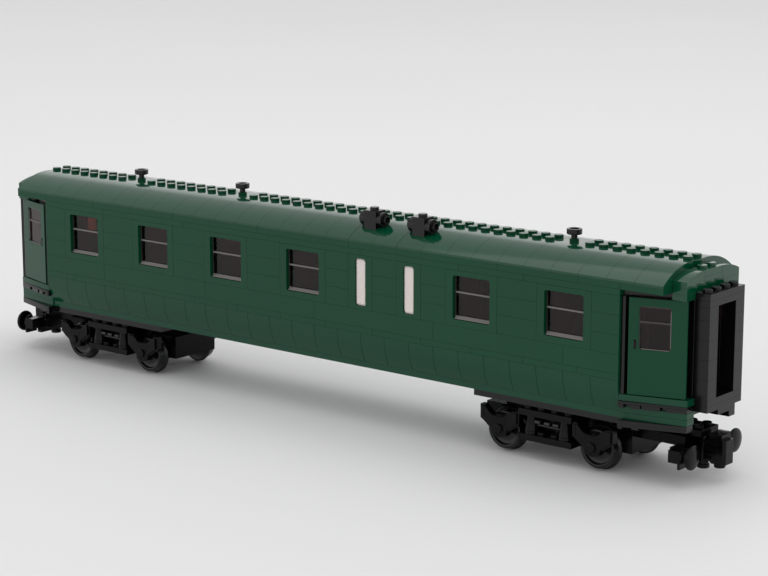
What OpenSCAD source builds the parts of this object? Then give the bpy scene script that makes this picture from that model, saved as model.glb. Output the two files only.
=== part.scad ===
/* [Brick grid] */
// Distance between two studs
pitch = 8; // [7.9:0.05:8.1]
// Height of one plate layer
plate_h = 3.2; // [3.15:0.05:3.25]
// Diameter of a stud
stud_d = 4.8; // [4.6:0.1:5.0]
// Height of a stud
stud_h = 1.6; // [1.4:0.1:1.7]

/* [Body] */
// Saloon length in studs
saloon_studs = 50; // [50:1:50]
// Main roof length in studs
roof_studs = 56; // [56:1:56]
// Half width of the body
half_w = 32; // [31.5:0.5:32.5]
// Height of the lowest layer line above the wheel flanges' lowest point
datum = 2.2; // [2.0:0.1:2.6]
// Inward sweep of the curved lower side
skirt_in = 4.2; // [3:0.2:5]
// Height of the lip below the roof curve
roof_lip = 1.3; // [0.8:0.1:1.8]

/* [Windows] */
// Width of a large window opening
win_w = 23; // [21:0.5:25]
// Height of a large window opening
win_h = 22.7; // [21:0.1:24]
// Width of a narrow window opening
slit_w = 7; // [6:0.5:9]
// Height of a narrow window opening
slit_h = 25; // [23:0.5:26]

/* [Doors] */
// Length of a door leaf from its hinge
door_l = 27.2; // [26.8:0.2:27.6]
// Thickness of a door leaf
door_t = 3; // [2.4:0.2:3.4]
// Angle of a closed door to the side wall
door_angle = 16.5; // [15:0.5:18]

/* [Bogies] */
// Distance from the middle of the coach to a bogie pivot
bogie_x = 155; // [154:0.5:156]
// Distance between the axles of a bogie
wheelbase = 56; // [54:1:58]
// Radius of a wheel tread
tread_r = 9.9; // [9.6:0.1:10]
// Radius of a wheel flange
flange_r = 11.3; // [11.1:0.1:11.4]
// Inner face of a wheel from the middle line
wheel_in = 17; // [16.6:0.1:17.4]
// Outer face of a wheel from the middle line
wheel_out = 23; // [22.5:0.1:23.2]
// Radius of an axle
axle_r = 1.5; // [1.4:0.05:1.7]
// Radial play of axles, pivot pins and door pins
play = 0.06; // [0.03:0.01:0.1]
// Upper face of the bogie plates
bogie_top = 25.9; // [25.7:0.1:25.9]
// Radius of a buffer head
buffer_r = 6.1; // [5.6:0.1:6.4]

/* [Hidden] */
$fn = 48;
function S(n) = n*pitch;
function L(n) = datum + n*plate_h;
half_saloon = S(saloon_studs)/2;
half_roof = S(roof_studs)/2;
axle_z = flange_r;
wall_in = half_w - pitch;
hinge_x = 229.7;
hinge_y = 20.9;
door_win_x = 14.1;
door_win_z = 77.1;
pin_r = 1.1;
beam_y0 = 20.4;
beam_y1 = 28;
// first and last stud of every large window bay, counted from the middle of the coach
BAYS = [[-23,-19],[-16,-12],[-9,-5],[-2,2],[12,16],[19,23]];
SLITS = [[4,6],[8,10]];
PILLARS = [[-25,-23],[-19,-16],[-12,-9],[-5,-2],[2,4],[6,8],[10,12],[16,19],[23,25]];
VENTS = [-19,-9,19];
BOXES = [5,9];
WALLS = [-17.5,-10.5,-3.5,10.5,17.5];

module box(x0,x1,y0,y1,z0,z1) { translate([x0,y0,z0]) cube([x1-x0,y1-y0,z1-z0]); }
module stud(x,y,z) { translate([x,y,z]) cylinder(d=stud_d,h=stud_h,$fn=32); }
module both_sides() { children(); mirror([0,1,0]) children(); }
module both_ends() { children(); mirror([1,0,0]) children(); }
module rrect(w,h,r) {
  square([w-2*r,h],center=true);
  square([w,h-2*r],center=true);
  for (sx=[-1,1], sy=[-1,1]) translate([sx*(w/2-r),sy*(h/2-r)]) circle(r);
}
// a plate standing in a side wall: the profile is drawn in X and Z, from Y = -y1 to -y0
module side_slab(y0,y1) { translate([0,-y0,0]) rotate([90,0,0]) linear_extrude(y1-y0) children(); }

module floor_plate() color([0.02,0.19,0.12]) box(-half_saloon,half_saloon,-half_w+skirt_in,half_w-skirt_in,L(9),L(10));
// curved lower side: flush with the wall at the top, swept inward at the foot
skirt_hh = 5*plate_h;
skirt_r = (skirt_in*skirt_in + skirt_hh*skirt_hh)/(2*skirt_in);
module skirts() color([0.02,0.19,0.12]) both_sides()
  translate([-half_saloon,0,0]) rotate([90,0,90]) linear_extrude(2*half_saloon) intersection() {
    translate([-half_w,L(10)]) square([pitch,skirt_hh]);
    translate([-half_w+skirt_r,L(15)]) circle(skirt_r,$fn=96);
  }
module waist_walls() color([0.02,0.19,0.12]) both_sides()
  box(-half_saloon,half_saloon,-half_w,-wall_in,L(15),L(19));
module side_pillars() color([0.02,0.19,0.12]) both_sides()
  for (p=PILLARS) box(S(p[0]),S(p[1]),-half_w,-wall_in,L(19),L(28));
module cantrails() color([0.02,0.19,0.12]) both_sides()
  box(-half_saloon,half_saloon,-half_w,-wall_in,L(28),L(30));
win_zc = L(19) + 3.4 + win_h/2;
slit_zc = (L(19)+L(28))/2;
module window_frames() color([0.02,0.19,0.12]) both_sides() {
  for (b=BAYS) difference() {
    box(S(b[0]),S(b[1]),-half_w,-wall_in,L(19),L(28));
    side_slab(wall_in-1,half_w+1) translate([S((b[0]+b[1])/2),win_zc]) rrect(win_w,win_h,1.2);
  }
  for (b=SLITS) difference() {
    box(S(b[0]),S(b[1]),-half_w,-wall_in,L(19),L(28));
    side_slab(wall_in-1,half_w+1) translate([S((b[0]+b[1])/2),slit_zc]) rrect(slit_w,slit_h,1.5);
  }
}
module window_glass() color([0.25,0.2,0.18,0.5]) both_sides()
  for (b=BAYS) side_slab(half_w-4.2,half_w-2.6) translate([S((b[0]+b[1])/2),win_zc]) rrect(win_w,win_h,1.2);
module narrow_panes() color([0.9,0.88,0.86]) both_sides()
  for (b=SLITS) side_slab(half_w-4,half_w-0.6) translate([S((b[0]+b[1])/2),slit_zc]) rrect(slit_w,slit_h,1.5);

// roof curve: level at the ridge, falling to the lip over the wall
rise = 3*plate_h - roof_lip;
span = half_w - pitch;
roof_r = (span*span + rise*rise)/(2*rise);
module roof_curve(cut,t) {
  intersection() {
    translate([pitch,L(33)-cut-roof_r]) difference() { circle(roof_r,$fn=160); circle(roof_r-t,$fn=160); }
    translate([pitch,L(30)-cut]) square([span,3*plate_h]);
  }
  translate([half_w-3.2,L(30)-cut]) square([3.2,roof_lip+0.6]);
}
module roof_slopes() color([0.02,0.19,0.12]) both_sides() mirror([0,1,0])
  union() {
    translate([-half_roof,0,0]) rotate([90,0,90]) linear_extrude(2*half_roof) roof_curve(0,3);
    // closed ribs at both ends
    for (x=[-half_roof,half_roof-pitch]) translate([x,0,0]) rotate([90,0,90]) linear_extrude(pitch) intersection() {
      translate([pitch,L(33)-roof_r]) circle(roof_r-1,$fn=160);
      translate([pitch,L(30)]) square([span-1,3*plate_h]);
    }
  }
module roof_ridge() color([0.02,0.19,0.12]) union() {
  box(-half_roof,half_roof,-pitch,pitch,L(32),L(33));
  for (i=[0:roof_studs-1]) let(x = (i+0.5)*pitch-half_roof)
    if (min([for (v=VENTS) abs(x-S(v))]) > pitch) { stud(x,-pitch/2,L(33)); stud(x,pitch/2,L(33)); }
  for (v=VENTS) stud(S(v),0,L(33));
}
// end of the roof: a narrower arch one plate lower, flat at the front
end_w = 3*pitch;
module roof_end() {
  x0 = half_roof; x1 = x0+pitch;
  difference() {
    union() {
      translate([x0,0,0]) rotate([90,0,90]) linear_extrude(pitch) {
        for (q=[0,1]) mirror([q,0]) intersection() {
          translate([pitch,L(32)-roof_r]) circle(roof_r,$fn=160);
          translate([pitch,L(28)]) square([end_w-pitch,4*plate_h]);
        }
        translate([-pitch,L(28)]) square([2*pitch,4*plate_h]);
      }
    }
    // hollow behind the front face
    box(x0-1,x1-3,-end_w+3,end_w-3,L(29),L(30)+2.4);
    for (s=[-1,1]) translate([hinge_x,s*hinge_y,L(28)-1]) cylinder(r=pin_r+play,h=plate_h+1);
  }
  stud(x0+pitch/2,-pitch/2,L(32)); stud(x0+pitch/2,pitch/2,L(32));
}
module vestibule_roof() {
  roof_end();
  // header over the doors follows their line
  translate([0,0,L(28)]) linear_extrude(plate_h) polygon([[half_saloon,-half_w+4],[half_roof,-end_w+4],[half_roof,end_w-4],[half_saloon,half_w-4]]);
  for (s=[-1,1]) box(half_saloon,half_roof,s>0?wall_in-1:-half_w,s>0?half_w:-wall_in+1,L(29),L(30));
}
module roof_end_right() color([0.02,0.19,0.12]) union() vestibule_roof();
module roof_end_left() color([0.02,0.19,0.12]) mirror([1,0,0]) union() vestibule_roof();

module roof_vents() color([0.05,0.05,0.06]) for (v=VENTS) translate([S(v),0,L(33)+stud_h]) {
  cylinder(d=3.2,h=2,$fn=32);
  translate([0,0,1.8]) difference() {
    cylinder(d=7.9,h=3.2,$fn=48);
    translate([0,0,1.4]) cylinder(d=4.8,h=3,$fn=48);
  }
}
module roof_boxes() color([0.05,0.05,0.06]) for (b=BOXES) difference() {
  translate([S(b),-2.5*pitch,L(32)]) {
    translate([-pitch/2+0.05,-pitch/2,0]) cube([pitch-0.1,pitch,3*plate_h]);
    stud(0,0,3*plate_h);
    both_ends() translate([pitch/2-0.1,0,1.5*plate_h]) rotate([0,90,0]) {
      cylinder(d=pitch,h=plate_h+0.1,$fn=48);
      translate([0,0,plate_h]) cylinder(d=stud_d,h=stud_h,$fn=32);
    }
  }
  // the boxes stand on the curve of the roof
  translate([S(b)-2*pitch,-pitch,L(33)-roof_r]) rotate([0,90,0]) cylinder(r=roof_r,h=4*pitch,$fn=160);
}
// walls between saloon and vestibules, with a passage
module bulkheads() color([0.05,0.05,0.06]) both_ends() difference() {
  box(half_saloon-pitch,half_saloon,-wall_in,wall_in,L(13),L(30));
  box(half_saloon-pitch-1,half_saloon+1,-pitch,pitch,L(13)-1,L(27));
}
module end_walls() color([0.05,0.05,0.06]) both_ends() difference() {
  box(half_roof,half_roof+pitch,-2*pitch-0.5,2*pitch+0.5,L(13),L(28));
  box(half_roof-1,half_roof+pitch+1,-pitch,pitch,L(13)-1,L(27));
}
module gangway() difference() {
  union() {
    box(half_roof+pitch,half_roof+2*pitch,-2*pitch,2*pitch,L(11),L(29));
    for (y=[-1.5:1:1.5]) stud(half_roof+1.5*pitch,y*pitch,L(29));
    box(half_roof+pitch,half_roof+2*pitch-1,-pitch/2,pitch/2+4,L(10),L(11)+1);
  }
  box(half_roof+pitch-1,half_roof+2*pitch+1,-pitch,pitch,L(13),L(27));
}
module gangway_right() color([0.05,0.05,0.06]) gangway();
module gangway_left() color([0.05,0.05,0.06]) rotate([0,0,180]) gangway();

// outline of the entrance platform, following the angled doors; y0 is its half width next to the saloon
function PLAT(y0,y1=22.6) = [[half_saloon,-y0],[half_saloon+2.5,-y0],[half_roof+pitch+1,-y1],[half_roof+pitch+1,-2*pitch],[half_roof+pitch,-2*pitch],
        [half_roof+pitch,-2*pitch+0.6],[half_roof,-2*pitch+0.6],[half_roof,2*pitch-0.6],[half_roof+pitch,2*pitch-0.6],[half_roof+pitch,2*pitch],
        [half_roof+pitch+1,2*pitch],[half_roof+pitch+1,y1],[half_saloon+2.5,y0],[half_saloon,y0]];
module vestibule_floors() color([0.02,0.19,0.12]) both_ends() {
  translate([0,0,L(9)]) linear_extrude(2*plate_h) polygon(PLAT(28.6,22.4));
  difference() {
    translate([0,0,L(12)]) linear_extrude(plate_h) polygon(PLAT(31,22.6));
    for (s=[-1,1]) translate([hinge_x,s*hinge_y,L(12)+0.6]) cylinder(r=pin_r+play,h=plate_h);
  }
}
module step_plates() color([0.05,0.05,0.06]) both_ends() {
  difference() {
    translate([0,0,L(11)]) linear_extrude(plate_h) polygon(PLAT(half_w));
    for (s=[-1,1], k=[0:2]) translate([half_saloon+7+k*9,s*(half_w-1.5-k*2.6),L(11)+plate_h/2]) rotate([90,0,0]) cylinder(d=2.2,h=8,center=true,$fn=4);
  }
  both_sides() translate([0,0,L(8)]) linear_extrude(plate_h)
    polygon([[half_saloon,-half_w],[half_saloon+2.5,-half_w],[half_roof+pitch+1,-22.6],[half_roof+pitch+1,-17],[half_saloon,-17]]);
}
module saloon_floor() color([0.25,0.25,0.26]) box(-half_saloon,half_saloon,-wall_in,wall_in,L(12),L(13));
// compartments on the near side, corridor on the far side
module partitions() color([0.28,0.1,0.06]) for (w=WALLS)
  box(S(w)-4,S(w)+4,-wall_in+0.4,pitch,L(13),L(27));
module seats() color([0.2,0.2,0.21]) for (b=BAYS, s=[-1,1]) translate([S((b[0]+b[1])/2),-wall_in+0.4,0]) mirror([s<0?1:0,0,0]) {
  translate([14,0,0]) cube_z(9.8,4*pitch-0.4,L(13),L(16));
  translate([21,0,0]) cube_z(2.8,4*pitch-0.4,L(16),L(22));
}
module cube_z(dx,dy,z0,z1) { translate([0,0,z0]) cube([dx,dy,z1-z0]); }
module pivot_plates() color([0.05,0.05,0.06]) both_ends() difference() {
  box(bogie_x-44,half_saloon,-half_w+skirt_in+0.4,half_w-skirt_in-0.4,L(8),L(9));
  translate([bogie_x,0,L(8)-1]) cylinder(r=2.4+play,h=plate_h+2);
}

// one door leaf, in its own frame: hinge pin on the origin, leaf along +X, outer face at -Y
leaf_z0 = L(13)+0.3;
leaf_z1 = L(28)-0.3;
module leaf() difference() {
  union() {
    translate([0,-door_t/2,leaf_z0]) cube([door_l,door_t,leaf_z1-leaf_z0]);
    translate([0,0,leaf_z0]) cylinder(d=door_t,h=leaf_z1-leaf_z0);
    translate([0,0,L(12)+1]) cylinder(r=pin_r,h=L(28)+2.4-L(12)-1);
  }
  translate([0,door_t,0]) rotate([90,0,0]) linear_extrude(2*door_t) translate([door_win_x,door_win_z]) rrect(15.9,21.1,1.5);
}
module leaf_glass() translate([0,0.5,0]) rotate([90,0,0]) linear_extrude(1) translate([door_win_x,door_win_z]) rrect(15.9,21.1,1.5);
// places a leaf at the right-hand end, near side
module door_place() translate([hinge_x,-hinge_y,0]) rotate([0,0,180+door_angle]) mirror([0,1,0]) children();
module door_near_right() color([0.02,0.17,0.11]) door_place() leaf();
module door_near_left() color([0.02,0.17,0.11]) mirror([1,0,0]) door_place() leaf();
module door_far_right() color([0.02,0.17,0.11]) mirror([0,1,0]) door_place() leaf();
module door_far_left() color([0.02,0.17,0.11]) rotate([0,0,180]) door_place() leaf();
module door_glass_near_right() color([0.25,0.2,0.18,0.5]) door_place() leaf_glass();
module door_glass_near_left() color([0.25,0.2,0.18,0.5]) mirror([1,0,0]) door_place() leaf_glass();
module door_glass_far_right() color([0.25,0.2,0.18,0.5]) mirror([0,1,0]) door_place() leaf_glass();
module door_glass_far_left() color([0.25,0.2,0.18,0.5]) rotate([0,0,180]) door_place() leaf_glass();

// running gear, drawn for the right-hand end
frame_z = bogie_top-plate_h;
module bogie_frame() difference() {
  union() {
    box(bogie_x-4*pitch,bogie_x+4*pitch,-15.6,15.6,frame_z,bogie_top);
    box(bogie_x-2*pitch,bogie_x+2*pitch,-beam_y0,beam_y0,frame_z,bogie_top);
    // axle holders: four studs long, with a keel round the bore
    for (s=[-1,1]) {
      box(bogie_x+s*wheelbase/2-2*pitch,bogie_x+s*wheelbase/2+2*pitch,-16.2,16.2,frame_z-4*plate_h,frame_z);
      box(bogie_x+s*wheelbase/2-6.5,bogie_x+s*wheelbase/2+6.5,-16.2,16.2,7.4,frame_z-4);
    }
    translate([bogie_x,0,bogie_top-1]) cylinder(r=7,h=L(8)-bogie_top+0.7);
    translate([bogie_x,0,bogie_top-1]) cylinder(r=2.4,h=L(9)-bogie_top+0.8);
  }
  for (s=[-1,1]) translate([bogie_x+s*wheelbase/2,20,axle_z]) rotate([90,0,0]) cylinder(r=axle_r+play,h=40);
}
// hanger over one axle box: outer arm, dished top, round box at the foot
module hanger() {
  difference() {
    polygon([[-12,24],[-9.6,24],[-5.5,19.4],[5.5,19.4],[9.6,24],[12,24],[12,17],[5.5,12.4],[-5,12.4],[-12,17]]);
    translate([0,20.8]) circle(2.6);
  }
  translate([0,13.1]) circle(5);
}
module side_frame() {
  ym = (beam_y0+beam_y1)/2;
  difference() {
    union() {
      box(bogie_x-2*pitch,bogie_x+2*pitch,-beam_y1,-beam_y0,frame_z,bogie_top);
      box(bogie_x-2*pitch,bogie_x+2*pitch,-beam_y1,-beam_y0,frame_z-4*plate_h,frame_z-3*plate_h);
      // back plate between the beams
      box(bogie_x-2*pitch,bogie_x+2*pitch,-beam_y0-1.4,-beam_y0,frame_z-4*plate_h,bogie_top);
      for (s=[-1,1]) {
        translate([bogie_x+s*wheelbase/2,0,0]) side_slab(23.6,beam_y1) hanger();
        translate([bogie_x+s*wheelbase/2,-beam_y1+0.1,13.1]) rotate([90,0,0]) cylinder(r=2.2,h=1.2,$fn=40);
      }
    }
  }
  for (k=[-1.5:1:1.5]) stud(bogie_x+k*pitch,-ym,bogie_top);
  for (k=[-1,1]) translate([bogie_x+k*(1.5*pitch-1.8),-ym,frame_z-3*plate_h-0.1]) {
    cylinder(d=7.2,h=1.8,$fn=40);
    translate([0,0,1.7]) rotate_extrude($fn=40) polygon([[0,0],[3.6,0],[2.6,8.1],[0,8.1]]);
  }
}
module side_frames() both_sides() union() side_frame();
arm_x1 = bogie_x+71;
module coupler_arm() union() {
  box(bogie_x+wheelbase/2+2*pitch,arm_x1,-11.6,11.6,17.6,frame_z);
  box(bogie_x+4*pitch,arm_x1+6.6,-pitch,pitch,frame_z,bogie_top);
  for (x=[arm_x1-5.4,arm_x1+2.6], y=[-4,4]) stud(x,y,bogie_top);
}
module buffers() union() {
  // cross piece below the arm
  box(arm_x1-6,arm_x1-0.4,-16,16,12.4,17.6);
  for (s=[-1,1]) {
    box(arm_x1-2,arm_x1+3.4,s>0?14:-24,s>0?24:-14,12.4,18.6);
    translate([arm_x1+3.3,s*20,15.7]) rotate([0,90,0]) {
      cylinder(r=6.2,h=1.7,$fn=56);
      cylinder(r=2.9,h=6,$fn=40);
    }
    translate([arm_x1+7.9,s*20,15.7]) rotate([0,90,0]) rotate_extrude($fn=64) polygon([[0,0],[buffer_r-0.6,0],[buffer_r,0.7],[buffer_r,1.4],[buffer_r-1,2.1],[0,2.7]]);
  }
}
module coupler() union() {
  translate([arm_x1+3.5,0,5.6]) { cylinder(r=3.2,h=frame_z-5.6,$fn=48); cylinder(r=4,h=2,$fn=48); }
  box(arm_x1+3.5,arm_x1+12,-2.8,2.8,12,17.6);
  translate([0,0,9.8]) linear_extrude(11.5) polygon([[arm_x1+9.7,-2.6],[arm_x1+11.1,-4],[arm_x1+16.4,-4],[arm_x1+17.8,-2.6],[arm_x1+17.8,2.6],[arm_x1+16.4,4],[arm_x1+11.1,4],[arm_x1+9.7,2.6]]);
  translate([arm_x1+14.5,0,7.8]) cylinder(r=2.8,h=2.2,$fn=40);
  box(arm_x1+7.2,arm_x1+17.4,-4.6,4.6,21.2,23.6);
}
module wheelset(x) translate([x,0,axle_z]) rotate([90,0,0]) union() {
  translate([0,0,-wheel_in-0.5]) cylinder(r=axle_r,h=2*wheel_in+1);
  for (s=[-1,1]) mirror([0,0,s<0?1:0]) translate([0,0,wheel_in]) rotate_extrude($fn=96)
    polygon([[0,0],[flange_r-0.4,0],[flange_r,0.5],[flange_r,1.1],[tread_r+0.2,1.9],[tread_r,wheel_out-wheel_in-0.3],[tread_r-0.3,wheel_out-wheel_in],
             [tread_r-1.8,wheel_out-wheel_in],[tread_r-2.4,wheel_out-wheel_in-1.6],[3.2,wheel_out-wheel_in-1.6],[2.8,wheel_out-wheel_in-0.2],[0,wheel_out-wheel_in-0.2]]);
}
module black() color([0.05,0.05,0.06]) children();
module bogie_frame_right() black() bogie_frame();
module bogie_frame_left() black() rotate([0,0,180]) bogie_frame();
module side_frames_right() black() side_frames();
module side_frames_left() black() rotate([0,0,180]) side_frames();
module coupler_arm_right() black() coupler_arm();
module coupler_arm_left() black() rotate([0,0,180]) coupler_arm();
module buffers_right() black() buffers();
module buffers_left() black() rotate([0,0,180]) buffers();
module coupler_right() black() coupler();
module coupler_left() black() rotate([0,0,180]) coupler();
module wheelset_right_outer() black() wheelset(bogie_x+wheelbase/2);
module wheelset_right_inner() black() wheelset(bogie_x-wheelbase/2);
module wheelset_left_inner() black() wheelset(-bogie_x+wheelbase/2);
module wheelset_left_outer() black() wheelset(-bogie_x-wheelbase/2);

floor_plate();
skirts();
waist_walls();
side_pillars();
cantrails();
window_frames();
window_glass();
narrow_panes();
roof_slopes();
roof_ridge();
roof_end_left();
roof_end_right();
roof_vents();
roof_boxes();
bulkheads();
end_walls();
gangway_left();
gangway_right();
vestibule_floors();
step_plates();
saloon_floor();
partitions();
seats();
pivot_plates();
door_near_left();
door_near_right();
door_far_left();
door_far_right();
door_glass_near_left();
door_glass_near_right();
door_glass_far_left();
door_glass_far_right();
bogie_frame_left();
bogie_frame_right();
side_frames_left();
side_frames_right();
coupler_arm_left();
coupler_arm_right();
buffers_left();
buffers_right();
coupler_left();
coupler_right();
wheelset_left_outer();
wheelset_left_inner();
wheelset_right_inner();
wheelset_right_outer();
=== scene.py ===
import bpy, bmesh, math
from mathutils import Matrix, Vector
from mathutils.geometry import tessellate_polygon


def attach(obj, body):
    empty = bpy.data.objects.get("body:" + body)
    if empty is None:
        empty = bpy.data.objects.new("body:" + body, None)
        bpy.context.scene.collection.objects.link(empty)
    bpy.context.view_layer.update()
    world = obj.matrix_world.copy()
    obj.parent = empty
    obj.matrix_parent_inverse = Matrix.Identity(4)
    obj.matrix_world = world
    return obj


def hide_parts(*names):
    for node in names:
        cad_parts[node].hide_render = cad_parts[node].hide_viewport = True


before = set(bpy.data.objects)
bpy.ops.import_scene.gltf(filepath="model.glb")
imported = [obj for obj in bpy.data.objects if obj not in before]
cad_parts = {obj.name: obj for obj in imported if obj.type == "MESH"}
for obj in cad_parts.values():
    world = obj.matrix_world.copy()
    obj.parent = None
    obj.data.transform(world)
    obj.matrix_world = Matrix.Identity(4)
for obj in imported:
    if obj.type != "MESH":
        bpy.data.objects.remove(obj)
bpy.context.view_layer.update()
scene = bpy.context.scene
scene.view_settings.view_transform = 'Standard'
scene.view_settings.look = 'None'

# ------------------------------------------------------------------ camera
cam_d = bpy.data.cameras.new("camera")
cam_d.sensor_width = 36.0
cam_d.lens = 101.93
cam_d.clip_start = 0.05
cam_d.clip_end = 60.0
cam = bpy.data.objects.new("camera", cam_d)
scene.collection.objects.link(cam)
cam.location = (0.748303, -0.885614, 0.308782)
cam.rotation_euler = Vector((-0.61628, 0.75990, -0.20675)).to_track_quat('-Z', 'Y').to_euler()
scene.camera = cam

# ------------------------------------------------------------------ sizes, mm
PLATE = 3.2
def L(n): return 2.2 + n * PLATE
def S(n): return n * 8.0
BAYS = [(-23, -19), (-16, -12), (-9, -5), (-2, 2), (12, 16), (19, 23)]
SLITS = [(4, 6), (8, 10)]
PILLARS = [(-25, -23), (-19, -16), (-12, -9), (-5, -2), (2, 4), (6, 8), (10, 12), (16, 19), (23, 25)]
VENTS = [-19, -9, 19]
BOXES = [5, 9]
WIN_ZC = L(19) + 3.4 + 22.7 / 2
SLIT_ZC = (L(19) + L(28)) / 2
HX, HY = 229.7, 20.9
DOOR_A = math.radians(16.5)
DOOR_L = 27.2
BX = 155.0
WB = 28.0
TOP = 25.9
FZ = TOP - PLATE
AX1 = BX + 71
AXZ = 11.3
G = 0.035  # half of the upright seam between two pieces
GZ = 0.004 # half of the level seam between two courses
RR = None
rise = 3 * PLATE - 1.3
RR = (24.0 ** 2 + rise ** 2) / (2 * rise)


def lin(c):
    c = c / 255.0
    return c / 12.92 if c <= 0.04045 else ((c + 0.055) / 1.055) ** 2.4


def rgb(r, g, b):
    return (lin(r), lin(g), lin(b), 1.0)


# ------------------------------------------------------------------ materials
def plastic(name, col, rough=0.14, vary=0.10, bump=0.012, scale=9.0, rough_vary=0.05, ior=1.5, coat=0.0,
            subsurface=0.0, metallic=0.0, bump_scale=900.0):
    m = bpy.data.materials.new(name)
    m.use_nodes = True
    nt = m.node_tree
    nt.nodes.clear()
    out = nt.nodes.new("ShaderNodeOutputMaterial")
    bs = nt.nodes.new("ShaderNodeBsdfPrincipled")
    nt.links.new(bs.outputs[0], out.inputs[0])
    tc = nt.nodes.new("ShaderNodeTexCoord")
    n1 = nt.nodes.new("ShaderNodeTexNoise")
    n1.inputs["Scale"].default_value = scale
    n1.inputs["Detail"].default_value = 3.0
    nt.links.new(tc.outputs["Object"], n1.inputs["Vector"])
    ramp = nt.nodes.new("ShaderNodeValToRGB")
    e = ramp.color_ramp.elements
    e[0].position, e[1].position = 0.3, 0.7
    e[0].color = tuple(c * (1 - vary) for c in col[:3]) + (1,)
    e[1].color = tuple(min(1, c * (1 + vary)) for c in col[:3]) + (1,)
    nt.links.new(n1.outputs["Fac"], ramp.inputs["Fac"])
    nt.links.new(ramp.outputs["Color"], bs.inputs["Base Color"])
    n2 = nt.nodes.new("ShaderNodeTexNoise")
    n2.inputs["Scale"].default_value = 60.0
    n2.inputs["Detail"].default_value = 4.0
    nt.links.new(tc.outputs["Object"], n2.inputs["Vector"])
    mr = nt.nodes.new("ShaderNodeMapRange")
    mr.inputs["To Min"].default_value = max(0.02, rough - rough_vary)
    mr.inputs["To Max"].default_value = rough + rough_vary
    nt.links.new(n2.outputs["Fac"], mr.inputs["Value"])
    nt.links.new(mr.outputs["Result"], bs.inputs["Roughness"])
    n3 = nt.nodes.new("ShaderNodeTexNoise")
    n3.inputs["Scale"].default_value = bump_scale
    n3.inputs["Detail"].default_value = 2.0
    nt.links.new(tc.outputs["Object"], n3.inputs["Vector"])
    bp = nt.nodes.new("ShaderNodeBump")
    bp.inputs["Strength"].default_value = bump
    bp.inputs["Distance"].default_value = 0.0002
    nt.links.new(n3.outputs["Fac"], bp.inputs["Height"])
    nt.links.new(bp.outputs["Normal"], bs.inputs["Normal"])
    bs.inputs["IOR"].default_value = ior
    bs.inputs["Metallic"].default_value = metallic
    bs.inputs["Coat Weight"].default_value = coat
    if coat:
        bs.inputs["Coat Roughness"].default_value = 0.04
    if subsurface:
        bs.inputs["Subsurface Weight"].default_value = subsurface
        bs.inputs["Subsurface Radius"].default_value = (0.002, 0.002, 0.002)
    m.diffuse_color = col
    return m


def glass(name, col, rough=0.03):
    m = plastic(name, col, rough=rough, vary=0.06, bump=0.004, rough_vary=0.02, bump_scale=300.0)
    bs = [n for n in m.node_tree.nodes if n.type == 'BSDF_PRINCIPLED'][0]
    bs.inputs["Transmission Weight"].default_value = 1.0
    bs.inputs["IOR"].default_value = 1.36
    return m


# one green plastic in five lit and shaded copies: the roof copy reflects more, a painted brighter sheen on the roof;
# the wall, stud, door and lower copies reflect less and shift slightly in colour, painted shade that makes those
# parts duller and darker
GREEN_WALLS_DIMMED_SHEEN = plastic("green_abs_walls_dimmed_sheen", rgb(2, 63, 39), rough=0.12, vary=0.08, ior=1.36)
GREEN_ROOF_BRIGHT_SHEEN = plastic("green_abs_roof_bright_sheen", rgb(2, 64, 40), rough=0.10, vary=0.08, ior=1.50)
GREEN_STUDS_DIMMED_SHEEN = plastic("green_abs_studs_dimmed_sheen", rgb(2, 62, 38), rough=0.20, vary=0.08, ior=1.26)
GREEN_DOOR_DIMMED_SHEEN = plastic("green_abs_door_dimmed_sheen", rgb(1, 61, 38), rough=0.13, vary=0.08, ior=1.32)
GREEN_LOWER_DIMMED_SHEEN = plastic("green_abs_lower_dimmed_sheen", rgb(3, 62, 40), rough=0.13, vary=0.08, ior=1.38)
# one black plastic in lit and shaded copies: running gear and coupler arm darker and less reflective, painted shade
# under the coach; wheels lighter, painted light on the wheels; gangway less reflective, painted duller sides
BLACK = plastic("black_abs", rgb(8, 8, 9), rough=0.18, vary=0.20, ior=1.42)
BLACK_GANG_DIMMED_SHEEN = plastic("black_abs_gangway_dimmed_sheen", rgb(11, 10, 11), rough=0.22, vary=0.15, ior=1.38)
BLACK_RUN_SHADED_COPY = plastic("black_running_gear_painted_shade", rgb(6, 6, 7), rough=0.20, vary=0.20, rough_vary=0.08, ior=1.26)
BLACK_ARM_SHADED_COPY = plastic("black_arm_painted_shade", rgb(5, 5, 6), rough=0.20, vary=0.20, rough_vary=0.08, ior=1.20)
WHEEL_LIT_COPY = plastic("black_wheel", rgb(14, 14, 15), rough=0.24, vary=0.15, rough_vary=0.08, ior=1.40)
TREAD = plastic("wheel_tread", rgb(26, 26, 27), rough=0.22, vary=0.15)
AXLE = plastic("axle_steel", rgb(150, 150, 152), rough=0.25, vary=0.05, metallic=0.9)
BROWN = plastic("brown_abs", rgb(92, 36, 24), rough=0.35, vary=0.12, ior=1.3)
GREY = plastic("grey_abs", rgb(62, 64, 66), rough=0.22, vary=0.08)
DARKIN = plastic("dark_interior", rgb(20, 20, 21), rough=0.3, vary=0.2)
PANE = plastic("white_pane", rgb(224, 214, 209), rough=0.18, vary=0.03, subsurface=0.1)
# opaque light grey for pane bars, sills, edge strips and door pane lips: painted highlight on clear edges
PANE_HIGHLIGHT_GREY = plastic("pane_edge", rgb(104, 101, 98), rough=0.12, vary=0.05)
SMOKE = glass("smoked_glass", rgb(136, 97, 86))
SMOKE_EDGE = plastic("smoked_edge", rgb(52, 46, 44), rough=0.10, vary=0.08)
SPRING = plastic("bright_black", rgb(24, 24, 26), rough=0.08, vary=0.1)


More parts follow.
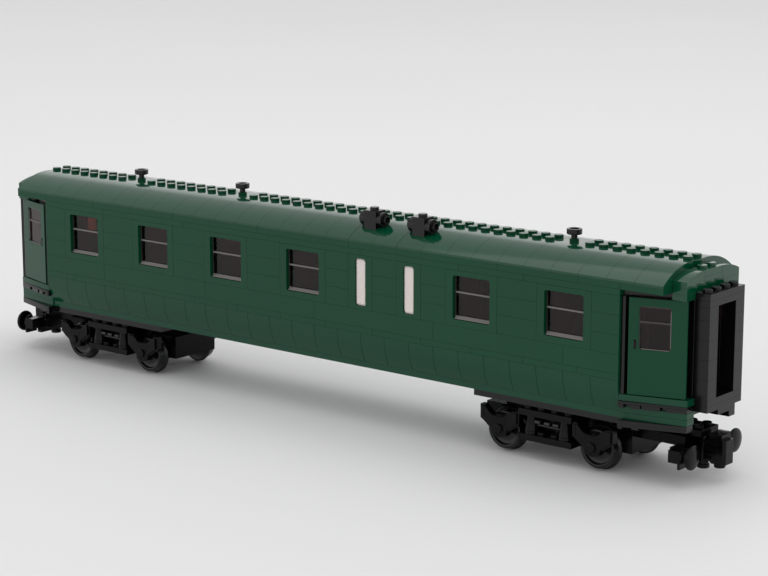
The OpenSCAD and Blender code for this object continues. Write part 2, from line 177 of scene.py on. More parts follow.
# ------------------------------------------------------------------ mesh building
class M:
    def __init__(s):
        s.v, s.f = [], []
        s.tf = lambda x, y, z: (x, y, z)

    def add(s, vs, fs):
        n = len(s.v)
        s.v += [s.tf(*p) for p in vs]
        s.f += [tuple(i + n for i in f) for f in fs]

    def box(s, x0, x1, y0, y1, z0, z1):
        if x0 > x1: x0, x1 = x1, x0
        if y0 > y1: y0, y1 = y1, y0
        s.add([(x0, y0, z0), (x1, y0, z0), (x1, y1, z0), (x0, y1, z0), (x0, y0, z1), (x1, y0, z1), (x1, y1, z1), (x0, y1, z1)],
              [(0, 3, 2, 1), (4, 5, 6, 7), (0, 1, 5, 4), (1, 2, 6, 5), (2, 3, 7, 6), (3, 0, 4, 7)])

    # outline (and holes) in a plane, pulled from a to b along the third axis
    def prism(s, pts, a, b, plane, holes=()):
        put = {'yz': lambda p, t: (t, p[0], p[1]), 'xz': lambda p, t: (p[0], t, p[1]), 'xy': lambda p, t: (p[0], p[1], t)}[plane]
        loops = [list(pts)] + [list(h) for h in holes]
        flat = [p for l in loops for p in l]
        n = len(flat)
        vs = [put(p, a) for p in flat] + [put(p, b) for p in flat]
        fs = []
        if holes:
            tris = tessellate_polygon([[Vector((p[0], p[1], 0)) for p in l] for l in loops])
            fs += [tuple(t) for t in tris] + [tuple(i + n for i in reversed(t)) for t in tris]
        else:
            fs += [tuple(range(n)), tuple(i + n for i in reversed(range(n)))]
        k = 0
        for l in loops:
            c = len(l)
            for i in range(c):
                j = (i + 1) % c
                fs.append((k + i, k + j, k + j + n, k + i + n))
            k += c
        s.add(vs, fs)

    # prof = [(radius, distance along axis)], ends closed
    def lathe(s, c, prof, axis='z', n=32, sign=1):
        vs, rings = [], []
        for r, t in prof:
            t *= sign
            if r < 1e-6:
                rings.append([len(vs)])
                vs.append((0, 0, t))
            else:
                st = len(vs)
                vs += [(r * math.cos(2 * math.pi * i / n), r * math.sin(2 * math.pi * i / n), t) for i in range(n)]
                rings.append(list(range(st, st + n)))
        fs = []
        for a, b in zip(rings[:-1], rings[1:]):
            if len(a) == 1 and len(b) == 1:
                continue
            for i in range(n):
                j = (i + 1) % n
                if len(a) == 1: fs.append((a[0], b[i], b[j]))
                elif len(b) == 1: fs.append((a[i], a[j], b[0]))
                else: fs.append((a[i], a[j], b[j], b[i]))
        if len(rings[0]) > 1: fs.append(tuple(reversed(rings[0])))
        if len(rings[-1]) > 1: fs.append(tuple(rings[-1]))
        put = {'z': lambda p: (c[0] + p[0], c[1] + p[1], c[2] + p[2]), 'y': lambda p: (c[0] + p[0], c[1] + p[2], c[2] + p[1]),
               'x': lambda p: (c[0] + p[2], c[1] + p[0], c[2] + p[1])}[axis]
        s.add([put(p) for p in vs], fs)

    def cyl(s, c, r, h, axis='z', n=32):
        s.lathe(c, [(r, 0), (r, h)], axis, n)

    def stud(s, x, y, z):
        s.lathe((x, y, z - 0.3), [(2.4, 0), (2.4, 1.78), (2.28, 1.9), (0, 1.9)], 'z', 32)


def rrect(cx, cy, w, h, r, n=5):
    pts = []
    for sx, sy, a0 in ((1, 1, 0), (-1, 1, 90), (-1, -1, 180), (1, -1, 270)):
        for k in range(n + 1):
            a = math.radians(a0 + 90 * k / n)
            pts.append((cx + sx * (w / 2 - r) + r * math.cos(a), cy + sy * (h / 2 - r) + r * math.sin(a)))
    return pts


def make(name, m, mat, body, replaces=(), bevel=0.16, seg=2, angle=32):
    me = bpy.data.meshes.new(name)
    me.from_pydata([(x / 1000, y / 1000, z / 1000) for x, y, z in m.v], [], m.f)
    bm = bmesh.new()
    bm.from_mesh(me)
    bmesh.ops.recalc_face_normals(bm, faces=bm.faces[:])
    bm.to_mesh(me)
    bm.free()
    for p in me.polygons: p.use_smooth = True
    me.set_sharp_from_angle(angle=math.radians(angle))
    me.materials.append(mat)
    ob = bpy.data.objects.new(name, me)
    scene.collection.objects.link(ob)
    if bevel:
        b = ob.modifiers.new("edge", 'BEVEL')
        b.width = bevel / 1000
        b.segments = seg
        b.limit_method = 'ANGLE'
        b.angle_limit = math.radians(angle)
        b.harden_normals = True
        b.use_clamp_overlap = True
    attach(ob, body)
    if replaces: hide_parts(*replaces)
    return ob


def keep(node, mat, bevel=0.15):
    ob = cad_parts[node]
    ob.data.materials.clear()
    ob.data.materials.append(mat)
    return ob


SIDES = (-1, 1)


def runs(a, b, joints):
    xs = [a] + sorted(j for j in joints if a + 0.5 < j < b - 0.5) + [b]
    return list(zip(xs[:-1], xs[1:]))


# ------------------------------------------------------------------ coach body, piece by piece
# curved lower side: 16 mm wide curved pieces
sin_ = 4.2
hh = 5 * PLATE
sr = (sin_ ** 2 + hh ** 2) / (2 * sin_)
prof = []
for k in range(15):
    z = L(10) + hh * k / 14
    prof.append((-(32 - sr + math.sqrt(sr ** 2 - (L(15) - z) ** 2)), z))
for s in SIDES:
    m = M()
    x = 200.0
    while x > -200:
        pp = [(s * -p[0] if s > 0 else p[0], p[1]) for p in prof]
        ring = pp + [(s * 24.2, L(15) - GZ), (s * 24.2, L(10) + GZ)]
        ring[0] = (ring[0][0], L(10) + GZ)
        ring[14] = (ring[14][0], L(15) - GZ)
        ga = 0.16 if abs(x - 16 - 32) < 1 or abs(x - 16 - 64) < 1 else 0.06
        m.prism(ring, x - 16 + ga, x - 0.06, 'yz')
        x -= 16
    make("skirt_pieces_" + ("near" if s < 0 else "far"), m, GREEN_LOWER_DIMMED_SHEEN, "coach", ("skirts",) if s < 0 else (), bevel=0.14)

# plate row and bricks under the windows
for s in SIDES:
    m = M()
    y0, y1 = s * 24.0, s * 32.0
    for a, b in runs(-200, 200, [16 + 32 * k for k in range(-7, 7)]):
        m.box(a + G, b - G, y0, y1, L(15) + GZ, L(16) - GZ)
    for a, b in runs(-200, 200, [-152, -72, 8, 88, 168]):
        m.box(a + G, b - G, y0, y1, L(16) + GZ, L(19) - GZ)
    make("waist_bricks_" + ("near" if s < 0 else "far"), m, GREEN_WALLS_DIMMED_SHEEN, "coach", ("waist_walls",) if s < 0 else ())
    m = M()
    for p in PILLARS:
        for i in range(3):
            m.box(S(p[0]) + G, S(p[1]) - G, y0, y1, L(19 + 3 * i) + GZ, L(22 + 3 * i) - GZ)
    make("pillar_bricks_" + ("near" if s < 0 else "far"), m, GREEN_WALLS_DIMMED_SHEEN, "coach", ("side_pillars",) if s < 0 else ())
    m = M()
    for a, b in runs(-200, 200, [-152, -88, -24, 40, 104, 144]):
        m.box(a + G, b - G, y0, y1, L(28) + GZ, L(29) - GZ)
    for a, b in runs(-200, 200, [-160, -96, -32, 32, 128, 176]):
        m.box(a + G, b - G, y0, y1, L(29) + GZ, L(30) - GZ)
    make("cantrail_plates_" + ("near" if s < 0 else "far"), m, GREEN_WALLS_DIMMED_SHEEN, "coach", ("cantrails",) if s < 0 else ())

# window frames: 4 and 2 studs wide, the opening with a stepped lip
for s in SIDES:
    m = M()
    for lst, w, h, zc, r in ((BAYS, 23.0, 22.7, WIN_ZC, 1.2), (SLITS, 7.0, 25.0, SLIT_ZC, 1.5)):
        for a, b in lst:
            cx = S((a + b) / 2)
            outer = rrect(cx, (L(19) + L(28)) / 2, S(b) - S(a) - 2 * G, L(28) - L(19) - 2 * G, 0.08, 1)
            m.prism(outer, s * 29.5, s * 32, 'xz', [rrect(cx, zc, w, h, r)])
            m.prism(outer, s * 24, s * 29.5, 'xz', [rrect(cx, zc, w - 0.5, h - 0.5, r)])
    make("window_frames_" + ("near" if s < 0 else "far"), m, GREEN_WALLS_DIMMED_SHEEN, "coach", ("window_frames",) if s < 0 else (), bevel=0.13)

# smoked panes with their moulded bar, sill and edges; the bar, the sill and a strip on the right edge are opaque
# light grey, a painted highlight where the glass catches light
for s in SIDES:
    m, e, l = M(), M(), M()
    for a, b in BAYS:
        cx = S((a + b) / 2)
        m.prism(rrect(cx, WIN_ZC, 23, 22.7, 1.2), s * 28.2, s * 29.3, 'xz')
        z0 = WIN_ZC - 22.7 / 2
        e.prism(rrect(cx, WIN_ZC, 22.9, 22.6, 1.2), s * 29.2, s * 29.8, 'xz',
                [rrect(cx, z0 + 1.7 + 5.85, 22.1, 11.7, 0.5), rrect(cx, z0 + 14.6 + 3.75, 22.1, 7.5, 0.5)])
        l.box(cx - 11.0, cx + 11.0, s * 29.7, s * 30.2, z0 + 13.5, z0 + 14.4)
        l.prism([(s * 29.7, z0 + 0.15), (s * 31.2, z0 + 0.15), (s * 31.2, z0 + 0.5), (s * 30.0, z0 + 1.9), (s * 29.7, z0 + 1.9)], cx - 10.9, cx + 10.9, 'yz')
        l.box(cx + 10.9, cx + 11.3, s * 29.7, s * 30.1, z0 + 14.9, z0 + 21.8)
    n = "near" if s < 0 else "far"
    make("panes_" + n, m, SMOKE, "coach", ("window_glass",) if s < 0 else (), bevel=0.05)
    make("pane_edges_" + n, e, SMOKE_EDGE, "coach", bevel=0.12)
    make("pane_bars_painted_highlight_" + n, l, PANE_HIGHLIGHT_GREY, "coach", bevel=0.12)
    m = M()
    for a, b in SLITS:
        cx = S((a + b) / 2)
        m.prism(rrect(cx, SLIT_ZC, 6.98, 24.98, 1.5), s * 28.0, s * 30.9, 'xz')
        m.prism(rrect(cx, SLIT_ZC, 5.6, 23.6, 1.1), s * 30.7, s * 31.3, 'xz')
    make("narrow_pane_" + n, m, PANE, "coach", ("narrow_panes",) if s < 0 else (), bevel=0.2)


# ------------------------------------------------------------------ roof
def roof_pts(y_out, y_in, top, n, r=None):
    r = r or RR
    return [(y, top - RR + math.sqrt(r * r - (y - 8) ** 2)) for y in [y_out + (y_in - y_out) * k / (n - 1) for k in range(n)]]


def slope_ring(s, top=L(33), lip=True):
    o = roof_pts(32.0, 8.0 + G, top, 22)
    i = roof_pts(8.0 + G, 29.2, top, 16, RR - 3)
    i = [(y, max(z, top - 3 * PLATE)) for y, z in i]
    ring = o + i
    if lip:
        ring = [(32.0, top - 3 * PLATE + G)] + ring + [(28.8, top - 3 * PLATE + G)]
    return [(s * y, z) for y, z in ring]


for s in SIDES:
    m = M()
    x = 224.0
    while x > -224:
        ring = slope_ring(s)
        if x > 223 or x < -207:
            o = [(s * y, z) for y, z in roof_pts(32.0, 8.0 + G, L(33), 22)]
            ring = [(s * 32.0, L(30) + GZ)] + o + [(s * (8.0 + G), L(30) + GZ)]
        ga = 0.16 if abs(x - 16 - 32) < 1 or abs(x - 16 - 64) < 1 else 0.06
        m.prism(ring, x - 16 + ga, x - 0.06, 'yz')
        x -= 16
    make("roof_slope_pieces_" + ("near" if s < 0 else "far"), m, GREEN_ROOF_BRIGHT_SHEEN, "coach", ("roof_slopes",) if s < 0 else (), bevel=0.14)
m = M()
for a, b in runs(-224, 224, [S(v) - 8 for v in VENTS] + [S(v) + 8 for v in VENTS] + [-208, -112, -32, 32, 96]):
    m.box(a + G, b - G, -8 + G, 8 - G, L(32), L(33))
make("roof_ridge_plates", m, GREEN_ROOF_BRIGHT_SHEEN, "coach", ("roof_ridge",), bevel=0.12)
m = M()
for i in range(56):
    x = (i + 0.5) * 8 - 224
    if min(abs(x - S(v)) for v in VENTS) > 8:
        m.stud(x, -4, L(33))
        m.stud(x, 4, L(33))
for v in VENTS:
    m.stud(S(v), 0, L(33))
make("roof_ridge_studs", m, GREEN_STUDS_DIMMED_SHEEN, "coach", bevel=0.12)

for e, nm in ((1, "right"), (-1, "left")):
    m = M()
    m.tf = lambda x, y, z, e=e: (e * x, y, z)
    top = L(32)
    # the arch: one piece each side, flat plate between
    for s in SIDES:
        pts = [(s * y, z) for y, z in roof_pts(24.0, 8.0 + G, top, 18)]
        m.prism(pts + [(s * (8.0 + G), L(30) + GZ), (s * 24.0, L(30) + GZ)], 224 + G, 232 - G, 'yz')
    m.box(224 + G, 232 - G, -8 + G, 8 - G, L(31), L(32))
    m.box(224 + G, 232 - G, -8 + G, 8 - G, L(30) + GZ, L(31) - GZ)
    m.stud(228, -4, top)
    m.stud(228, 4, top)
    # two plates under it, the lower one with the upper door pins
    m.box(224 + G, 232 - G, -24, 24, L(29) + GZ, L(30) - GZ)
    m.box(224 + G, 232 - G, -24, 24, L(28), L(29) - GZ)
    make("roof_end_pieces_" + nm, m, GREEN_ROOF_BRIGHT_SHEEN, "coach", ("roof_end_" + nm,))
    m = M()
    m.tf = lambda x, y, z, e=e: (e * x, y, z)
    for s in SIDES:
        m.box(200 + G, 224 - G, s * 24, s * 32, L(29) + GZ, L(30) - GZ)
    make("roof_end_rails_" + nm, m, GREEN_WALLS_DIMMED_SHEEN, "coach")
    # header plate under the roof lip and posts at the saloon end, in black: painted shade under the roof overhang
    # beside the doors
    m = M()
    m.tf = lambda x, y, z, e=e: (e * x, y, z)
    m.prism([(200 + G, -28), (224 - G, -20), (224 - G, 20), (200 + G, 28)], L(28) + GZ, L(29) - GZ, 'xy')
    for s in SIDES:
        m.box(200 + G, 202.4, s * 25, s * 30.4, L(13) + GZ, L(28) - GZ)
    make("door_header_painted_shade_" + nm, m, BLACK, "coach")

# vents: round stem with a cup on it
m = M()
for v in VENTS:
    c = (S(v), 0, L(33) + 1.6)
    m.lathe(c, [(1.6, 0), (1.6, 1.9), (2.4, 1.95), (3.6, 2.1), (3.95, 2.5), (3.95, 4.8), (3.8, 5.0), (2.6, 5.0), (2.4, 4.8), (2.4, 3.4), (0, 3.4)], 'z', 48)
make("vent_cups", m, BLACK, "coach", ("roof_vents",), bevel=0.1)

# boxes on the slope: brick with round plates on two sides
m = M()
for b in BOXES:
    x, y = S(b), -20.0
    yz = []
    for k in range(9):
        yy = 24 - 8 * k / 8
        yz.append((-yy, L(33) - RR + math.sqrt(RR ** 2 - (yy - 8) ** 2)))
    for z0, z1 in ((None, L(35)),):
        m.prism([(-24 + G, z1)] + [(max(min(p[0], -16 - G), -24 + G), p[1]) for p in yz] + [(-16 - G, z1)], x - 3.95, x + 3.95, 'yz')
    m.stud(x, y, L(35))
    for s in SIDES:
        zc = L(32) + 4.8
        m.lathe((x + s * 3.9, y, zc), [(3.95, 0), (3.95, 3.1), (3.85, 3.2), (2.4, 3.2), (2.4, 4.7), (2.3, 4.8), (1.6, 4.8), (1.5, 4.7), (1.5, 3.4), (0, 3.4)], 'x', 40, sign=s)
        m.cyl((x + s * 3.7, y, zc), 2.4, 0.3 * s, 'x', 24)
make("roof_box_pieces", m, BLACK, "coach", ("roof_boxes",), bevel=0.12)

# ------------------------------------------------------------------ inner walls, gangways, platforms
m = M()
for e in SIDES:
    for k in range(5):
        z0, z1 = L(13) + k * 9.6, min(L(13) + (k + 1) * 9.6, L(28))
        if z1 > L(27): z1 = L(27)
        if z0 >= z1: continue
        for s in SIDES:
            m.box(e * (192 + G), e * (200 - G), s * 8, s * 24, z0 + GZ, z1 - GZ)
            m.box(e * (224 + G), e * (232 - G), s * 8, s * 16.5, z0 + GZ, z1 - GZ)
    m.box(e * (192 + G), e * (200 - G), -24, 24, L(27) + GZ, L(30) - GZ)
    m.box(e * (224 + G), e * (232 - G), -16.5, 16.5, L(27) + GZ, L(28) - GZ)
make("end_wall_bricks", m, BLACK, "coach", ("bulkheads", "end_walls"))

for e, nm in ((1, "right"), (-1, "left")):
    m = M()
    m.tf = lambda x, y, z, e=e: (e * x, e * y, z)
    # lower plate, posts in courses, two plates on top with studs
    m.box(232 + G, 240, -16, 16, L(11) + GZ, L(12) - GZ)
    m.box(232 + G, 240, -16, 16, L(12) + GZ, L(13) - GZ)
    for k in range(5):
        z0 = L(13) + 9.6 * k
        z1 = min(z0 + 9.6, L(27))
        if z1 - z0 < 0.5: continue
        for s in SIDES:
            m.box(232 + G, 240, s * 8, s * 16, z0 + GZ, z1 - GZ)
    m.box(232 + G, 240, -16, 16, L(27) + GZ, L(28) - GZ)
    m.box(232 + G, 240, -16, 16, L(28) + GZ, L(29) - GZ)
    for y in (-12, -4, 4, 12): m.stud(236, y, L(29))
    m.box(232 + G, 239, -4, 12, L(10), L(11))
    m.lathe((235.6, 8, L(10)), [(2.6, -0.4), (2.6, 0)], 'z', 24)
    make("gangway_pieces_" + nm, m, BLACK_GANG_DIMMED_SHEEN, "coach", ("gangway_" + nm,))


def plat(y0, y1=22.6):
    h = [(200 + G, -y0), (202.5, -y0), (233, -y1), (233, -16.05), (232, -16.05), (232, -15.4), (224, -15.4)]
    return h + [(x, -y) for x, y in reversed(h)]


mg, mb = M(), M()
for e in SIDES:
    for m in (mg, mb): m.tf = lambda x, y, z, e=e: (e * x, y, z)
    mg.prism(plat(28.6, 22.4), L(9) + GZ, L(10) - GZ, 'xy')
    mg.prism(plat(28.6, 22.4), L(10) + GZ, L(11) - GZ, 'xy')
    mg.prism(plat(31, 22.6), L(12) + GZ, L(13) - GZ, 'xy')
    # black step plate: thin upper skin, lower half cut by three recesses on each side
    mb.prism(plat(32, 22.6), L(11) + 1.9, L(12) - GZ, 'xy')
    h = [(200 + G, -32), (202.5, -32)]
    sl = (32 - 22.6) / 30.5
    ye = lambda x: 32 - (x - 202.5) * sl
    for xa, xb, d in ((203.2, 206.6, 3.0), (211.0, 213.0, 1.6), (220.4, 223.2, 2.4)):
        h += [(xa, -ye(xa)), (xa, -ye(xa) + d), (xb, -ye(xb) + d), (xb, -ye(xb))]
    h += [(233, -22.6), (233, -16.05), (232, -16.05), (232, -15.4), (224, -15.4)]
    mb.prism(h + [(x, -y) for x, y in reversed(h)], L(11) + GZ, L(11) + 1.95, 'xy')
    for s in SIDES:
        mb.prism([(200 + G, s * 32), (202.5, s * 32), (233, s * 22.6), (233, s * 17), (200 + G, s * 17)], L(8) + GZ, L(9) - GZ, 'xy')
        for xa, xb in ((200.2, 202.6), (206.4, 210.4)):
            mb.box(xa, xb, s * (ye(xb) - 2.2), s * (ye(xb) - 0.2), L(8) - 1.1, L(8) + GZ)
make("platform_plates", mg, GREEN_LOWER_DIMMED_SHEEN, "coach", ("vestibule_floors",))
make("step_tiles", mb, BLACK, "coach", ("step_plates",))

# inside
m = M()
for w in (-17.5, -10.5, -3.5, 10.5, 17.5):
    for k in range(5):
        z0, z1 = L(13) + k * 9.6, min(L(13) + (k + 1) * 9.6, L(27))
        if z1 - z0 > 0.5:
            m.box(S(w) - 4 + G, S(w) + 4 - G, -23.6, 8, z0 + GZ, z1 - GZ)
make("partition_bricks", m, BROWN, "coach", ("partitions",))
m = M()
for c in (-21, -14, -7, 0, 14, 21):
    for s in SIDES:
        m.box(S(c) + s * 23.8, S(c) + s * 14, -23.6, 8, L(13) + GZ, L(16))
        m.box(S(c) + s * 23.8, S(c) + s * 21, -23.6, 8, L(16) + GZ, L(22))
make("seat_pieces", m, GREY, "coach", ("seats",))
keep("floor_plate", GREEN_LOWER_DIMMED_SHEEN)
keep("saloon_floor", GREY)
keep("pivot_plates", BLACK)


# ------------------------------------------------------------------ doors
def door_tf(ex, sy):
    ca, sa = math.cos(DOOR_A), math.sin(DOOR_A)
    # u along the leaf from the hinge, v through it (outer face negative)
    def tf(u, v, z):
        x = HX - u * ca - v * sa
        y = -HY - u * sa + v * ca
        return (ex * x, -sy * y, z)
    return tf


for ex, en in ((1, "right"), (-1, "left")):
    for sy, sn in ((-1, "near"), (1, "far")):
        body = "door_%s_%s" % (sn, en)
        tf = door_tf(ex, sy)
        m = M(); m.tf = tf
        z0, z1 = L(13) + 0.3, L(28) - 0.3
        wu, wz = 14.1, 77.1
        outer = [(0, z0), (DOOR_L, z0), (DOOR_L, z1), (0, z1)]
        slot_ = rrect(23.8, 68.9, 1.5, 4.6, 0.3, 2)
        m.prism(outer, -1.5, -0.3, 'xz', [rrect(wu, wz, 15.9, 21.1, 1.5), slot_])
        m.prism(outer, -0.35, 1.5, 'xz', [rrect(wu, wz, 15.9, 21.1, 1.5)])
        m.lathe((0, 0, z0), [(1.5, 0), (1.5, z1 - z0)], 'z', 28)
        m.lathe((0, 0, L(12) + 1), [(1.1, 0), (1.1, L(28) + 2.4 - L(12) - 1)], 'z', 20)
        make(body + "_leaf", m, GREEN_DOOR_DIMMED_SHEEN, body, (body,), bevel=0.14)
        m = M(); m.tf = tf
        # black insert in the back of the handle slot: painted shade of the recess; the thin bar drawn next is the
        # handle itself
        m.prism(rrect(23.8, 68.9, 1.46, 4.56, 0.3, 2), -0.62, -0.2, 'xz')
        m.prism(rrect(24.3, 68.9, 0.5, 3.2, 0.2, 2), -1.55, -0.5, 'xz')
        make(body + "_handle_and_painted_slot_shade", m, BLACK, body, bevel=0.05)
        m = M(); m.tf = tf
        m.prism(rrect(wu, wz, 15.9, 21.1, 1.5), -0.5, 0.5, 'xz')
        make(body + "_pane", m, SMOKE, body, ("door_glass_%s_%s" % (sn, en),), bevel=0.05)
        m = M(); m.tf = tf
        zb = wz - 10.55
        m.prism(rrect(wu, wz, 15.8, 21.0, 1.45), -1.1, -0.45, 'xz', [rrect(wu, zb + 0.5 + 6.2, 15.1, 12.4, 0.8), rrect(wu, zb + 13.9 + 3.35, 15.1, 6.7, 0.8)])
        make(body + "_pane_edge", m, SMOKE_EDGE, body, bevel=0.15)
        # the pane's thin clear lip on the side towards the hinge, plus a strip along the bottom, drawn in opaque
        # light grey as a painted highlight
        m = M(); m.tf = tf
        m.box(wu - 7.75, wu - 7.35, -1.35, -1.0, zb + 1.6, zb + 19.4)
        m.box(wu - 7.0, wu + 6.6, -1.35, -1.0, zb + 0.1, zb + 0.5)
        make(body + "_pane_lip_painted_highlight", m, PANE_HIGHLIGHT_GREY, body, bevel=0.08)

# ------------------------------------------------------------------ running gear
def hanger_pts(k=1.0):
    # outline of the arm over an axle box: two ears and a dish between them
    pts = [(-12, 16.8), (-12, 24.0), (-9.4, 24.0), (-7.9, 22.4), (-6.3, 20.7), (-4.6, 19.7), (-2.4, 19.3), (2.4, 19.3), (4.2, 19.9), (5.4, 21.6), (7.6, 22.9), (12, 23.2)]
    pts += [(12, 16.6), (8.4, 13.8), (5.4, 12.0), (-5.4, 12.0), (-8.2, 14.2)]
    return pts


for e, nm in ((1, "right"), (-1, "left")):
    body = "bogie_" + nm
    rot = lambda x, y, z, e=e: (e * (BX + x), e * y, z)
    # middle frame: plates, boss and axle brackets
    m = M(); m.tf = rot
    m.box(-32 + G, 32 - G, -15.6, 15.6, FZ, TOP)
    m.box(-16, 16, -20.4, 20.4, FZ, TOP)
    for s in SIDES:
        m.box(s * WB - 16 + G, s * WB + 16 - G, -16.2, 16.2, FZ - 4 * PLATE, FZ)
        m.box(s * WB - 14.6, s * WB + 14.6, -14.6, 14.6, FZ - 4 * PLATE - 0.02, FZ - 4 * PLATE + 0.5)
        m.prism([(s * WB - 6.5, 14.7), (s * WB - 6.5, 9.6), (s * WB - 4.0, 7.4), (s * WB + 4.0, 7.4), (s * WB + 6.5, 9.6), (s * WB + 6.5, 14.7)], -16.2, 16.2, 'xz')
    m.lathe((0, 0, TOP - 1), [(7, 0), (7, 2.6)], 'z', 48)
    m.lathe((0, 0, TOP - 1), [(2.4, 0), (2.4, L(9) - TOP + 0.8)], 'z', 40)
    for x in (-24, -16, 16, 24):
        for y in (-12, -4, 4, 12):
            m.lathe((x + 4 * (1 if x < 0 else -1) * 0, y, TOP - 0.3), [(2.4, 0), (2.4, 1.78), (2.28, 1.9), (0, 1.9)], 'z', 24)
    make("bogie_middle_" + nm, m, BLACK_ARM_SHADED_COPY, body, ("bogie_frame_" + nm,))

    # side frames
    m = M()
    sp = M()
    for s in SIDES:
        for q in (m, sp): q.tf = lambda x, y, z, e=e, s=s: (e * (BX + x), e * s * y, z)
        ya, yb = 20.4, 28.0
        m.box(-16 + G, 16 - G, ya, yb, FZ, TOP)
        m.box(-16 + G, 16 - G, ya, yb, FZ - 4 * PLATE, FZ - 3 * PLATE)
        ym = (ya + yb) / 2
        for k in (-1.5, -0.5, 0.5, 1.5):
            m.stud(k * 8, ym, TOP)
        for k in (-0.5, 0.5):
            m.stud(k * 8, ym, FZ - 3 * PLATE)
        for k in (-1, 1):
            c = (k * 10.2, ym, FZ - 3 * PLATE - 0.1)
            m.lathe(c, [(3.6, 0), (3.6, 1.5), (3.5, 1.7), (3.0, 1.75), (3.6, 1.9), (3.5, 2.4), (2.6, 8.3), (2.5, 9.7), (0, 9.7)], 'z', 40)
            # hanger arm, axle box, cover
            m.prism([(k * WB + p[0], p[1]) for p in hanger_pts()], 23.6, 27.1, 'xz')
            inner = [(k * WB + p[0] * 0.90, 17.6 + (p[1] - 17.6) * 0.86) for p in hanger_pts()]
            m.prism(inner, 26.9, 27.9, 'xz')
            m.lathe((k * WB, 23.6, 13.1), [(5.0, 0), (5.0, 3.9), (4.7, 4.3), (3.2, 4.35), (3.0, 4.05), (2.5, 4.05), (2.2, 4.4), (2.2, 5.3), (1.9, 5.5), (0, 5.5)], 'y', 48)
            m.box(k * (WB - 4.4), k * (WB + 4.4), 24.2, 27.6, 9.6, 13.2)
            # ribs on the face of the arm
            for q in range(5):
                m.box(k * WB - 5.6 + 0.4 * q, k * WB + 5.6 - 0.4 * q, 27.85, 28.05, 18.3 - 0.95 * q, 18.75 - 0.95 * q)
            m.box(k * WB - 10.8, k * WB - 9.6, 27.8, 28.1, 17.6, 22.8)
        m.box(-16, 16, ya - 1.4, ya + 0.2, FZ - 4 * PLATE, TOP - 0.2)
        for x in (-5.6, 0.2, 5.4):
            sp.lathe((x - 1.9, 25.0, FZ - 3.1), [(0.9, 0), (1.25, 0.2), (1.25, 3.4), (0.9, 3.6)], 'x', 24)
        sp.box(-7.6, 7.6, 21.4, 24.4, FZ - 5.2, FZ - 4.4)
    make("side_frame_pieces_" + nm, m, BLACK_RUN_SHADED_COPY, body, ("side_frames_" + nm,))
    make("side_frame_springs_" + nm, sp, SPRING, body, bevel=0)

    # arm that carries coupler and buffers
    rx = lambda x, y, z, e=e: (e * x, e * y, z)
    m = M(); m.tf = rx
    for a, b in ((BX + WB + 16, 212), (212, AX1)):
        m.box(a + G, b - G, -11.6, 11.6, 17.6, FZ)
    m.box(BX + 32 + G, 212 - G, -8, 8, FZ, TOP)
    m.box(212 + G, AX1 + 6.6, -8, 8, FZ, TOP)
    for x in (AX1 - 5.4, AX1 + 2.6):
        for y in (-4, 4): m.stud(x, y, TOP)
    make("coupler_arm_pieces_" + nm, m, BLACK_ARM_SHADED_COPY, body, ("coupler_arm_" + nm,))

    m = M(); m.tf = rx
    m.box(AX1 - 6, AX1 - 0.4, -16, 16, 12.4, 17.6 - G)
    m.box(AX1 - 0.7, AX1 + 2.6, -16, 16, 8.8, 17.6 - G)
    for s in SIDES:
        m.box(AX1 - 2, AX1 + 3.3, s * 14, s * 24, 12.4, 18.6)
        c = (AX1 + 3.3, s * 20, 15.7)
        # square plate with a round step, stem and domed head
        m.box(AX1 + 3.2, AX1 + 4.6, s * 15.8, s * 24, 9.6, 18.6)
        m.lathe((AX1 + 4.5, s * 20, 15.7), [(3.9, 0), (3.9, 0.9), (2.6, 1.0), (2.6, 3.6)], 'x', 48)
        m.lathe((AX1 + 7.9, s * 20, 15.7), [(5.2, 0), (5.6, 0.1), (6.1, 0.7), (6.1, 1.4), (5.8, 1.8), (5.1, 2.1), (3.5, 2.45), (1.6, 2.65), (0, 2.7)], 'x', 64)
    make("buffer_pieces_" + nm, m, BLACK_RUN_SHADED_COPY, body, ("buffers_" + nm,))

    m = M(); m.tf = rx
    m.lathe((AX1 + 3.5, 0, 5.6), [(2.9, 0), (3.1, 0.3), (3.1, 2.0), (2.6, 2.1), (2.6, 5.0), (3.2, 5.1), (3.2, FZ - 5.6)], 'z', 48)
    m.box(AX1 + 3.5, AX1 + 12, -2.8, 2.8, 12, 17.6)
    m.box(AX1 + 6.2, AX1 + 10, -3.6, 3.6, 10.2, 20.6)
    for z in (11.6, 14.2, 16.8, 19.4):
        m.box(AX1 + 6.0, AX1 + 14, -4.7, 4.7, z - 0.5, z + 0.5)
    m.prism([(AX1 + 8.7, -3.0), (AX1 + 10.4, -4.6), (AX1 + 16.6, -4.6), (AX1 + 17.8, -3.4), (AX1 + 17.8, 3.4), (AX1 + 16.6, 4.6), (AX1 + 10.4, 4.6), (AX1 + 8.7, 3.0)], 9.6, 21.6, 'xy')
    m.lathe((AX1 + 12.6, 0, 7.2), [(2.6, 0), (2.8, 0.3), (2.8, 2.6)], 'z', 40)
    m.box(AX1 + 8.4, AX1 + 15.6, -3.9, 4.6, 21.5, 24.2)
    make("coupler_pieces_" + nm, m, BLACK_RUN_SHADED_COPY, body, ("coupler_" + nm,))

# wheels: flange, tread, dished face with a hub, steel axle
def wheel_prof():
    return [(1.5, 0), (3.2, 0), (3.4, 0.4), (9.6, 0.5), (10.9, 0), (11.2, 0.3), (11.3, 0.8), (11.1, 1.2), (10.4, 1.6), (10.1, 2.0),
            (9.95, 2.8), (9.9, 5.5), (9.7, 5.9), (9.3, 6.0), (8.3, 6.0), (8.0, 5.85), (7.5, 4.7), (7.2, 4.5), (4.2, 4.35), (3.5, 4.5), (3.1, 5.5), (2.9, 5.8), (1.9, 5.8), (1.7, 5.6), (1.7, 5.0), (0, 5.0)]


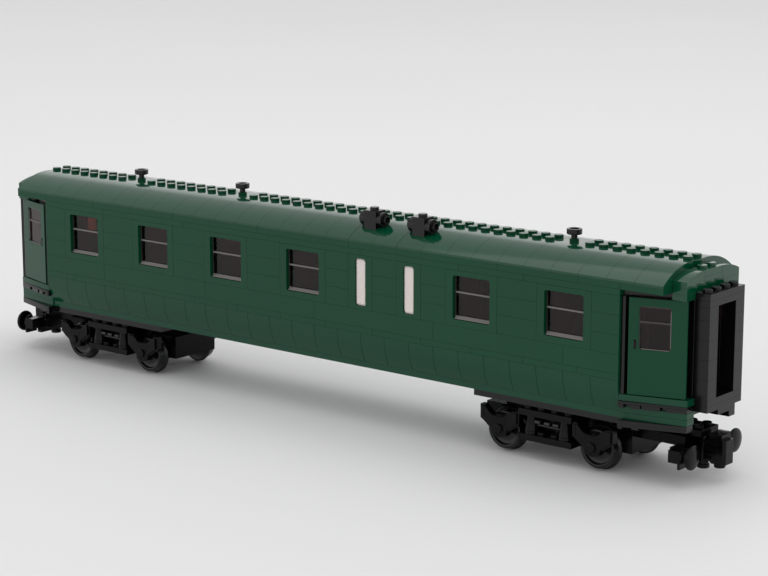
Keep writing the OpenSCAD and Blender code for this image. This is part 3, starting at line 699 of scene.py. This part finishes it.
for x, nm in ((BX + WB, "right_outer"), (BX - WB, "right_inner"), (-BX + WB, "left_inner"), (-BX - WB, "left_outer")):
    body = "wheels_" + nm
    m = M()
    for s in SIDES:
        m.lathe((x, s * 17, AXZ), wheel_prof(), 'y', 96, sign=s)
    make("wheel_pair_" + nm, m, WHEEL_LIT_COPY, body, ("wheelset_" + nm,), bevel=0.08)
    m = M()
    m.lathe((x, -17.5, AXZ), [(1.5, 0), (1.5, 35)], 'y', 32)
    make("axle_rod_" + nm, m, AXLE, body, bevel=0)

# ------------------------------------------------------------------ studio
fm = plastic("studio_floor", rgb(233, 233, 233), rough=0.7, vary=0.01, bump=0.0, scale=1.2, ior=1.35, rough_vary=0.05)
m = M()
m.box(-14000, 14000, -14000, 14000, -20, 0)
me = bpy.data.meshes.new("studio_floor")
me.from_pydata([(-15, -15, 0), (15, -15, 0), (15, 15, 0), (-15, 15, 0)], [], [(0, 1, 2, 3)])
me.materials.append(fm)
floor = bpy.data.objects.new("studio_floor", me)
scene.collection.objects.link(floor)

w = bpy.data.worlds.new("studio")
scene.world = w
w.use_nodes = True
nt = w.node_tree
nt.nodes.clear()
wo = nt.nodes.new("ShaderNodeOutputWorld")
bg = nt.nodes.new("ShaderNodeBackground")
tc = nt.nodes.new("ShaderNodeTexCoord")
sp = nt.nodes.new("ShaderNodeSeparateXYZ")
mp = nt.nodes.new("ShaderNodeMapRange")
rp = nt.nodes.new("ShaderNodeValToRGB")
nt.links.new(tc.outputs["Generated"], sp.inputs[0])
nt.links.new(sp.outputs["Z"], mp.inputs["Value"])
mp.inputs["From Min"].default_value = -1.0
mp.inputs["From Max"].default_value = 1.0
nt.links.new(mp.outputs["Result"], rp.inputs["Fac"])
el = rp.color_ramp.elements
el[0].position = 0.0
el[0].color = (0.62, 0.62, 0.62, 1)
el[1].position = 1.0
el[1].color = (0.66, 0.66, 0.66, 1)
for p, v in ((0.5, 1.0), (0.70, 1.0), (0.735, 0.66)):
    e = el.new(p)
    e.color = (v, v, v, 1)
nt.links.new(rp.outputs["Color"], bg.inputs["Color"])
bg.inputs["Strength"].default_value = 1.08
nt.links.new(bg.outputs[0], wo.inputs[0])


def area(name, loc, aim, size, power):
    d = bpy.data.lights.new(name, 'AREA')
    d.shape = 'RECTANGLE'
    d.size, d.size_y = size
    d.energy = power
    o = bpy.data.objects.new(name, d)
    scene.collection.objects.link(o)
    o.location = loc
    o.rotation_euler = (Vector(aim) - Vector(loc)).to_track_quat('-Z', 'Y').to_euler()
    return o


area("top_light", (0.15, 0.35, 2.2), (0, 0, 0), (3.0, 2.4), 16.0)
